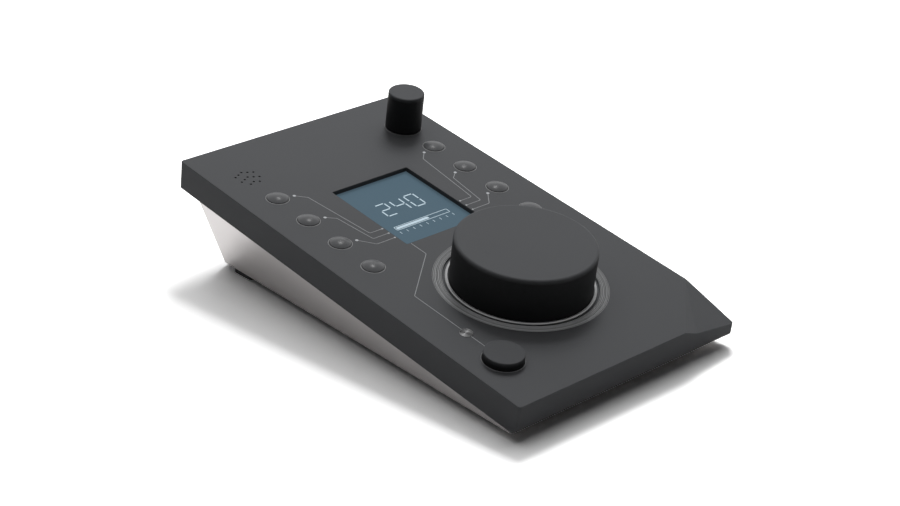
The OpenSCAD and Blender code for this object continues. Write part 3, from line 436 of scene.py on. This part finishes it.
def figure(symbol, left):  # its bars, each drawn in a little from both ends
    bars = []
    for key in figureSegments[symbol]:
        ends = np.array(segments[key], float)
        ends += (ends[::-1] - ends) * readout["inset"]
        ends = ends * (readout["figureWidth"], readout["figureHeight"]) + (left, readout["base"])
        bars.append(screenBar(*ends, readout["stroke"]))
    return bars


pitch = readout["figureWidth"] + readout["gap"]
left = -(len(readout["figures"]) * pitch - readout["gap"]) / 2
screenParts = []
for i, symbol in enumerate(readout["figures"]):
    screenParts += figure(symbol, left + i * pitch)
halfBar, barAt = readout["barWidth"] / 2, readout["barAt"]
barCentre = np.add(places["display"], (0.0, barAt))
barPath = roundedBox(halfBar, readout["barDepth"] / 2, readout["barCorner"], barCentre)
screenParts.append(strip(barPath, readout["barStroke"], readout["low"], readout["high"], closed=True))
filled = [(x - halfBar, barAt) for x in (readout["levelStart"], readout["barWidth"] * readout["level"])]
screenParts.append(screenBar(*filled, readout["levelDepth"]))
tickTop = barAt - readout["tickGap"]
for x in np.linspace(-halfBar, halfBar, readout["ticks"]):
    screenParts.append(screenBar((x, tickTop), (x, tickTop - readout["tickLength"]), readout["tickStroke"]))
makePiece("level_readout", screenParts, finishes["readout"], "case")
print("stage: display")

# Eight spring contacts inside the network socket, each a bent wire: y from its mouth, z from its ceiling
contacts = {"count": 8, "pitch": 1.02, "width": 0.45, "thick": 0.3, "ceiling": 11.2, "bends": [1.0, 0.8],
            "wire": [(-12.6, -0.2), (-11.5, -0.3), (-4.2, -2.6), (-2.6, -0.3)]}
jackLow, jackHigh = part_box("network_jack")
mouth = (jackHigh[1] / mm, jackLow[2] / mm + contacts["ceiling"])
wirePath = fillet(np.add(contacts["wire"], mouth), contacts["bends"])
wires = []
for x in (np.arange(contacts["count"]) - (contacts["count"] - 1) / 2) * contacts["pitch"]:
    wires.append(strip(wirePath, contacts["thick"], x - contacts["width"] / 2, x + contacts["width"] / 2,
                       place=lambda y, z, h: onDesk(h, y, z)))
makePiece("jack_contacts", wires, finishes["gold"], "case")
print("stage: socket contacts")

# Camera, from the photograph's perspective
view = {"at": (-0.5978, -0.6699, 0.4455), "turn": (65.019, 0.0, -41.821), "lens": 81.36, "sensor": 36.0,
        "nearest": 0.01}
camera = bpy.data.objects.new("camera", bpy.data.cameras.new("camera"))
camera.location = view["at"]
camera.rotation_euler = [math.radians(a) for a in view["turn"]]
camera.data.lens = view["lens"]
camera.data.sensor_width = view["sensor"]
camera.data.clip_start = view["nearest"]
bpy.context.scene.collection.objects.link(camera)
bpy.context.scene.camera = camera


def seenOr(tree, seen, mirrored, lit):
    # one value for the camera, one for mirror images before a matt bounce, one for what lights the object
    ray = put(tree, "ShaderNodeLightPath").outputs
    image = compute(tree, "MAXIMUM", ray["Is Glossy Ray"], ray["Is Transmission Ray"])
    image = compute(tree, "MULTIPLY", image, compute(tree, "LESS_THAN", ray["Diffuse Depth"], 0.5))
    toCamera = compute(tree, "MULTIPLY", ray["Is Camera Ray"], seen - lit)
    toMirror = compute(tree, "MULTIPLY", image, mirrored - lit)
    return compute(tree, "ADD", compute(tree, "ADD", toCamera, toMirror), lit)


# Floor: a white sheet that keeps the shadow
floor = {"size": 8.0, "colour": 0.85, "seen": 1.7, "mirrored": 1.25}


def makeFloor():
    half = floor["size"] / 2
    mesh = bpy.data.meshes.new("floor")
    corners = [(-half, -half, 0), (half, -half, 0), (half, half, 0), (-half, half, 0)]
    mesh.from_pydata(corners, [], [(0, 1, 2, 3)])
    sheet = bpy.data.objects.new("floor", mesh)
    bpy.context.scene.collection.objects.link(sheet)
    white = bpy.data.materials.new("floorWhite")
    white.use_nodes = True
    tree = white.node_tree
    tree.nodes.clear()
    shade = seenOr(tree, floor["seen"], floor["mirrored"], floor["colour"])
    matt = put(tree, "ShaderNodeBsdfDiffuse", {"Color": shade})
    put(tree, "ShaderNodeOutputMaterial", {"Surface": matt.outputs[0]})
    mesh.materials.append(white)


makeFloor()

# Lights: a large softbox behind and to the right, two smaller lamps by it, a weak fill high on the left
lamps = {
    "soft": {"azimuth": 48.0, "elevation": 62.0, "away": 1.8, "size": 2.6, "power": 21.0, "mirrored": False},
    "key": {"azimuth": 50.0, "elevation": 52.0, "away": 1.8, "size": 0.65, "power": 17.0, "mirrored": False},
    "fill": {"azimuth": 280.0, "elevation": 62.0, "away": 1.0, "size": 0.6, "power": 0.6, "mirrored": False},
    "spark": {"azimuth": 46.0, "elevation": 63.0, "away": 0.95, "size": 0.12, "power": 1.1, "mirrored": True}}


def addLamp(name, box):  # a round lamp turned to the origin, its azimuth counted from the back to the right
    a, e = math.radians(box["azimuth"]), math.radians(box["elevation"])
    direction = np.array([math.cos(e) * math.sin(a), math.cos(e) * math.cos(a), math.sin(e)])
    lamp = bpy.data.objects.new(name, bpy.data.lights.new(name, "AREA"))
    lamp.data.shape = "DISK"
    lamp.data.size = box["size"]
    lamp.data.energy = box["power"]
    lamp.location = direction * box["away"]
    lamp.rotation_euler = (math.pi / 2 - e, 0.0, math.pi - a)
    lamp.visible_glossy = box["mirrored"]
    bpy.context.scene.collection.objects.link(lamp)


for name, box in lamps.items():
    addLamp(name, box)

# A white room, seen and mirrored at full strength, that adds little light of its own
room = {"seen": 1.0, "lit": 0.03}
world = bpy.data.worlds.new("room")
bpy.context.scene.world = world
world.use_nodes = True
backdrop = world.node_tree.nodes["Background"]
strength = seenOr(world.node_tree, room["seen"], room["seen"], room["lit"])
feed(world.node_tree, backdrop, {"Color": (1.0, 1.0, 1.0, 1.0), "Strength": strength})
bpy.context.scene.view_settings.view_transform = "Standard"
print("stage: camera, floor and lights")
